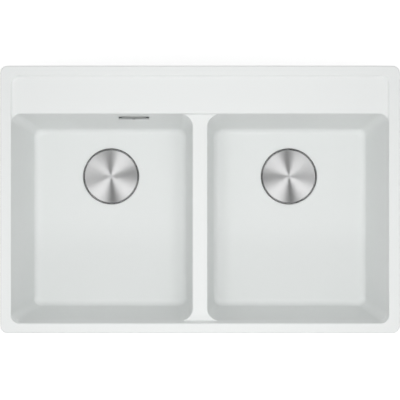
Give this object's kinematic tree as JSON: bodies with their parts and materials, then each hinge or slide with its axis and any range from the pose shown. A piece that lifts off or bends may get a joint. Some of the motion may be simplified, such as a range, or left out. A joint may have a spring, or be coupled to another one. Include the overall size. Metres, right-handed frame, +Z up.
{
  "type": "double bowl kitchen sink",
  "caption": "White composite inset kitchen sink with two bowls, a lowered divider, a tap ledge, covered basket strainer wastes, an overflow and the pipework to one outlet.",
  "frame": {"origin": "centre of the worktop cut-out, in the plane of the worktop's top face, on which the rim seal lies", "axes": "+X to the right seen from the front, along the longer side; +Y to the back, where the tap ledge is; +Z up, out of the bowls"},
  "size_m": [0.78, 0.522, 0.3597],
  "materials": {
    "white_composite": "matte moulded quartz composite",
    "brushed_steel": "circular brushed stainless steel",
    "polished_steel": "polished stainless steel",
    "zinc_plate": "zinc plated spring steel",
    "black_rubber": "matte",
    "grey_foam": "closed-cell foam",
    "white_plastic": "moulded polypropylene",
    "grey_plastic": "moulded polypropylene"
  },
  "bodies": {
    "shell": {"sink_body": "white_composite", "rim_seal": "grey_foam", "left_waste_flange": "polished_steel", "left_flange_seal": "black_rubber", "left_housing_gasket": "black_rubber", "left_waste_housing": "white_plastic", "left_clamp_screw": "polished_steel", "left_outlet_nut": "grey_plastic", "left_outlet_washer": "black_rubber", "left_outlet_pipe": "white_plastic", "right_waste_flange": "polished_steel", "right_flange_seal": "black_rubber", "right_housing_gasket": "black_rubber", "right_waste_housing": "white_plastic", "right_clamp_screw": "polished_steel", "right_outlet_nut": "grey_plastic", "right_outlet_washer": "black_rubber", "right_outlet_pipe": "white_plastic", "outlet_tee": "white_plastic", "overflow_plate": "brushed_steel", "overflow_screw": "polished_steel", "overflow_gasket": "black_rubber", "overflow_housing": "white_plastic", "overflow_hose": "grey_plastic", "upper_hose_nut": "grey_plastic", "lower_hose_nut": "grey_plastic", "port_cap": "grey_plastic", "clip_bracket_front_left": "zinc_plate", "clip_screw_front_left": "zinc_plate", "clip_bracket_front_right": "zinc_plate", "clip_screw_front_right": "zinc_plate", "clip_bracket_back_left": "zinc_plate", "clip_screw_back_left": "zinc_plate", "clip_bracket_back_right": "zinc_plate", "clip_screw_back_right": "zinc_plate", "clip_bracket_side_left": "zinc_plate", "clip_screw_side_left": "zinc_plate", "clip_bracket_side_right": "zinc_plate", "clip_screw_side_right": "zinc_plate"},
    "left_strainer": {"left_basket_strainer": "polished_steel", "left_basket_knob": "polished_steel", "left_basket_seal": "black_rubber"},
    "left_cover": {"left_drain_cover": "brushed_steel"},
    "right_strainer": {"right_basket_strainer": "polished_steel", "right_basket_knob": "polished_steel", "right_basket_seal": "black_rubber"},
    "right_cover": {"right_drain_cover": "brushed_steel"},
    "front_left_claw": {"clip_claw_front_left": "zinc_plate"},
    "front_right_claw": {"clip_claw_front_right": "zinc_plate"},
    "back_left_claw": {"clip_claw_back_left": "zinc_plate"},
    "back_right_claw": {"clip_claw_back_right": "zinc_plate"},
    "side_left_claw": {"clip_claw_side_left": "zinc_plate"},
    "side_right_claw": {"clip_claw_side_right": "zinc_plate"}
  },
  "joints": [
    {"name": "left_strainer_lift", "type": "slide", "parent": "shell", "child": "left_strainer", "axis": [0, 0, 1], "range_m": [0, 0.24]},
    {"name": "left_cover_lift", "type": "slide", "parent": "left_strainer", "child": "left_cover", "axis": [0, 0, 1], "range_m": [0, 0.22]},
    {"name": "right_strainer_lift", "type": "slide", "parent": "shell", "child": "right_strainer", "axis": [0, 0, 1], "range_m": [0, 0.24]},
    {"name": "right_cover_lift", "type": "slide", "parent": "right_strainer", "child": "right_cover", "axis": [0, 0, 1], "range_m": [0, 0.22]},
    {"name": "front_left_claw_hinge", "type": "hinge", "parent": "shell", "child": "front_left_claw", "pos_m": [-0.1918, -0.2515, -0.064], "axis": [1, 0, 0], "range_deg": [-9, 0], "stiffness_Nm_per_rad": 0.5},
    {"name": "front_right_claw_hinge", "type": "hinge", "parent": "shell", "child": "front_right_claw", "pos_m": [0.1918, -0.2515, -0.064], "axis": [1, 0, 0], "range_deg": [-9, 0], "stiffness_Nm_per_rad": 0.5},
    {"name": "back_left_claw_hinge", "type": "hinge", "parent": "shell", "child": "back_left_claw", "pos_m": [-0.1918, 0.2515, -0.064], "axis": [-1, 0, 0], "range_deg": [-9, 0], "stiffness_Nm_per_rad": 0.5},
    {"name": "back_right_claw_hinge", "type": "hinge", "parent": "shell", "child": "back_right_claw", "pos_m": [0.1918, 0.2515, -0.064], "axis": [-1, 0, 0], "range_deg": [-9, 0], "stiffness_Nm_per_rad": 0.5},
    {"name": "side_left_claw_hinge", "type": "hinge", "parent": "shell", "child": "side_left_claw", "pos_m": [-0.3805, -0.035, -0.064], "axis": [0, -1, 0], "range_deg": [-9, 0], "stiffness_Nm_per_rad": 0.5},
    {"name": "side_right_claw_hinge", "type": "hinge", "parent": "shell", "child": "side_right_claw", "pos_m": [0.3805, -0.035, -0.064], "axis": [0, 1, 0], "range_deg": [-9, 0], "stiffness_Nm_per_rad": 0.5}
  ]
}
